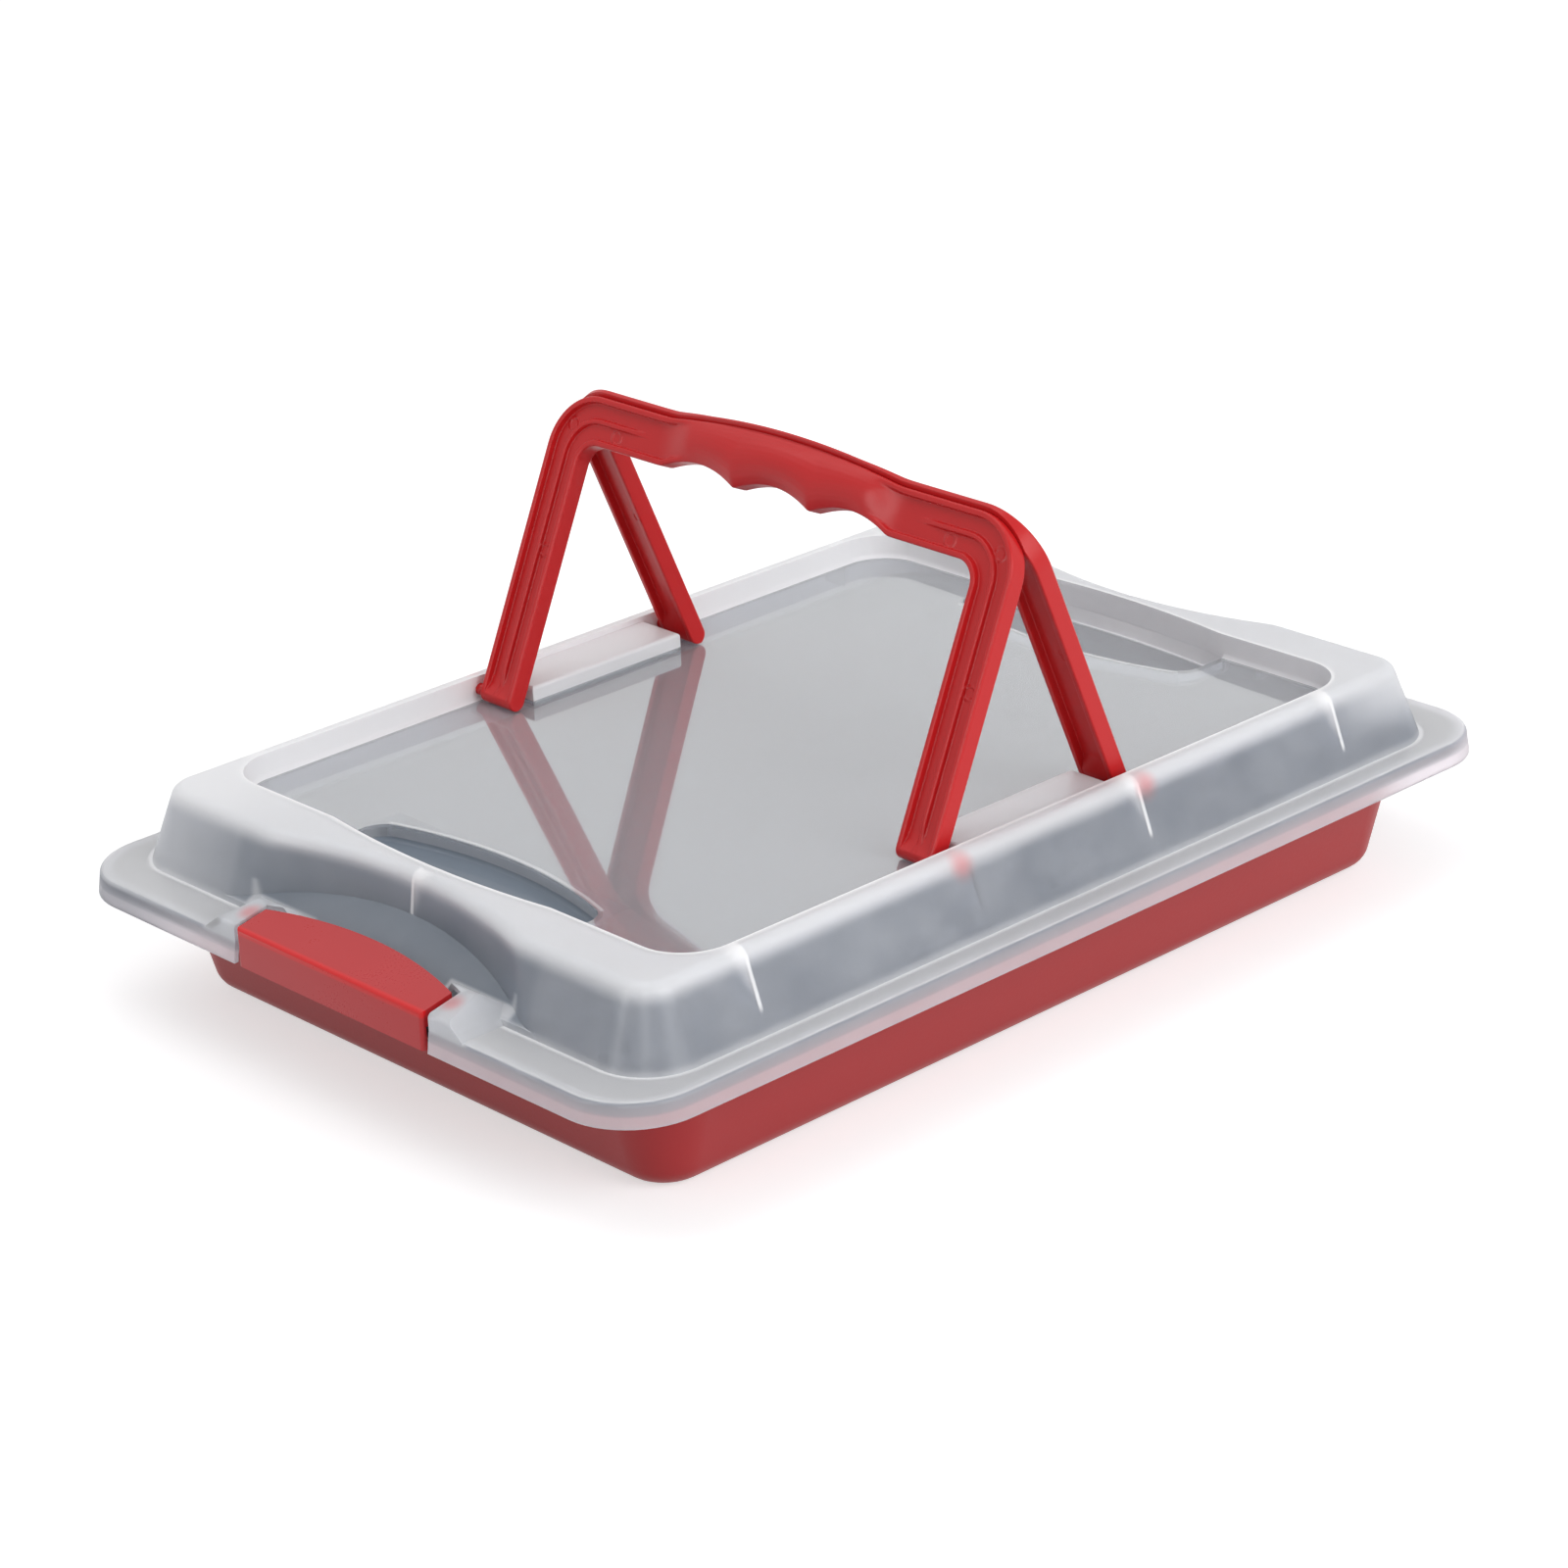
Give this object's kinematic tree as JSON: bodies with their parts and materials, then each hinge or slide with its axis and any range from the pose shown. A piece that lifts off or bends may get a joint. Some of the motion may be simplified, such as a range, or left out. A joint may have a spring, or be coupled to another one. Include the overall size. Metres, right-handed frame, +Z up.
{
  "type": "baking pan with lid",
  "caption": "Rectangular baking pan under a translucent carry lid, with end clips and fold-down bail handles that lean together into a shared grip.",
  "frame": {"origin": "middle of the underside of the pan, on the surface it stands on", "axes": "+Z up, +X along the long side from the front clip to the rear clip, +Y across the short side"},
  "size_m": [0.4224, 0.2924, 0.1825],
  "materials": {
    "pan": "satin red enamel outside, dark grey non-stick coating inside, curled rim",
    "lid": "frosted translucent moulded plastic with a glossy sunk panel",
    "front_handle": "smooth moulded red plastic",
    "rear_handle": "smooth moulded red plastic",
    "front_clip": "smooth moulded red plastic",
    "rear_clip": "smooth moulded red plastic"
  },
  "bodies": {
    "pan": {"pan": "pan"},
    "lid": {"lid": "lid"},
    "front_handle": {"front_handle": "front_handle"},
    "rear_handle": {"rear_handle": "rear_handle"},
    "front_clip": {"front_clip": "front_clip"},
    "rear_clip": {"rear_clip": "rear_clip"}
  },
  "joints": [
    {"name": "lid_lift", "type": "slide", "parent": "pan", "child": "lid", "axis": [0, 0, 1], "range_m": [0, 0.009]},
    {"name": "front_handle_fold", "type": "hinge", "parent": "lid", "child": "front_handle", "pos_m": [-0.0444, 0, 0.0715], "axis": [0, -1, 0], "range_deg": [0, 114.7]},
    {"name": "rear_handle_fold", "type": "hinge", "parent": "lid", "child": "rear_handle", "pos_m": [0.0444, 0, 0.0715], "axis": [0, 1, 0], "range_deg": [0, 112.5]},
    {"name": "front_clip_swing", "type": "hinge", "parent": "lid", "child": "front_clip", "pos_m": [-0.2015, 0, 0.0525], "axis": [0, 1, 0], "range_deg": [0, 100]},
    {"name": "rear_clip_swing", "type": "hinge", "parent": "lid", "child": "rear_clip", "pos_m": [0.2015, 0, 0.0525], "axis": [0, -1, 0], "range_deg": [0, 100]}
  ],
  "couplings": [
    {"joint": "front_clip_swing", "follows": "lid_lift", "rad_per_m": 193.9},
    {"joint": "rear_clip_swing", "follows": "lid_lift", "rad_per_m": 193.9}
  ]
}
